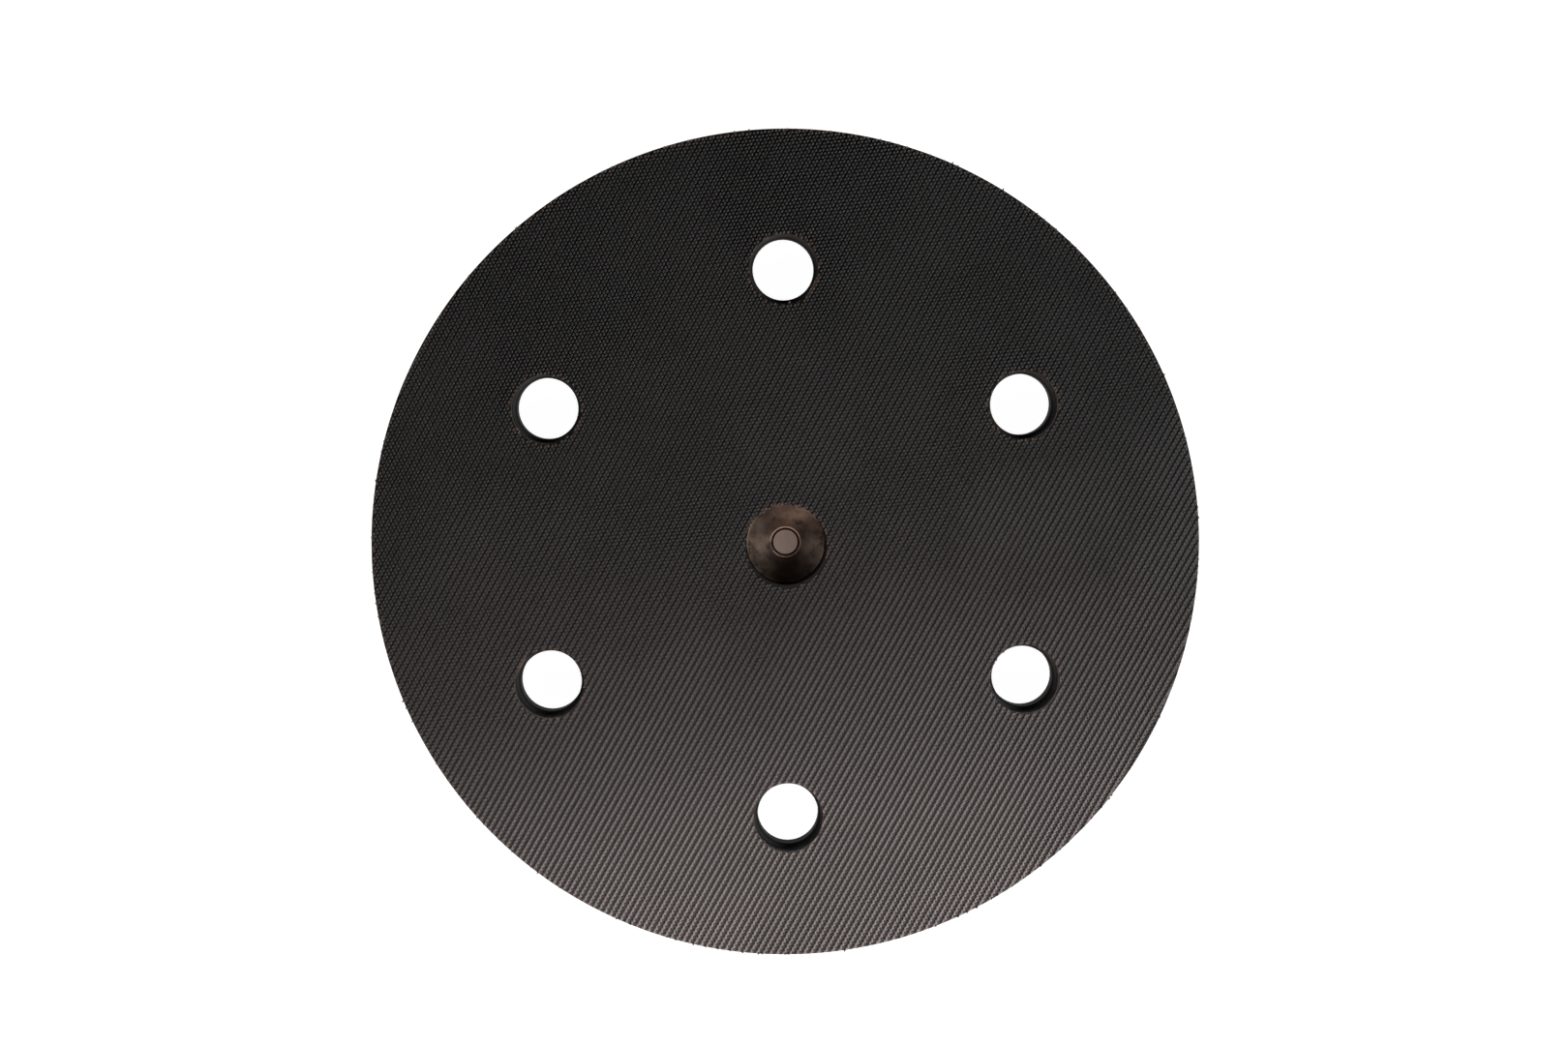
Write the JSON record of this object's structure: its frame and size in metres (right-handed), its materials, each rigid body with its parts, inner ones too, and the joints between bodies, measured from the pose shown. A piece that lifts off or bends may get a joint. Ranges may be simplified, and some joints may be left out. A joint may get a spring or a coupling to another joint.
{
  "type": "sanding pad",
  "caption": "Round backing pad of an orbital sander: hook face with dust holes over a foam cushion, on a ribbed plate with a riveted steel hub and a threaded stud.",
  "frame": {"origin": "on the stud's axis, at the spacer washer's lower face, where the sander's spindle bears", "axes": "+Z along the stud's axis towards the hook face, so the stud points along -Z; +Y through one of the dust holes"},
  "size_m": [0.152, 0.152, 0.026],
  "materials": {
    "hook_nylon": "moulded nylon hooks, dull black",
    "adhesive": "dull dark brown film",
    "foam": "fine-celled polyurethane foam, black",
    "plate_nylon": "glass-filled nylon, black",
    "zinc_steel": "zinc plated",
    "hub_steel": "turned and blackened, oily",
    "rivet_steel": "zinc plated",
    "stud_steel": "dull machined steel",
    "fibre": "vulcanised fibre, dull red"
  },
  "bodies": {
    "pad": {"foam_cushion": "foam", "cushion_adhesive": "adhesive", "backing_plate": "plate_nylon", "clamp_ring": "zinc_steel", "hub_body": "hub_steel", "hub_rivets": "rivet_steel", "threaded_stud": "stud_steel"},
    "facing": {"hook_facing": "hook_nylon", "facing_adhesive": "adhesive"},
    "washer": {"spacer_washer": "fibre"}
  },
  "joints": [
    {"name": "cushion_squeeze", "type": "slide", "parent": "pad", "child": "facing", "axis": [0, 0, -1], "range_m": [0, 0.0018], "stiffness_N_per_m": 150000, "deforming": ["foam_cushion"]},
    {"name": "washer_slide", "type": "slide", "parent": "pad", "child": "washer", "axis": [0, 0, -1], "range_m": [0, 0.0109]}
  ]
}
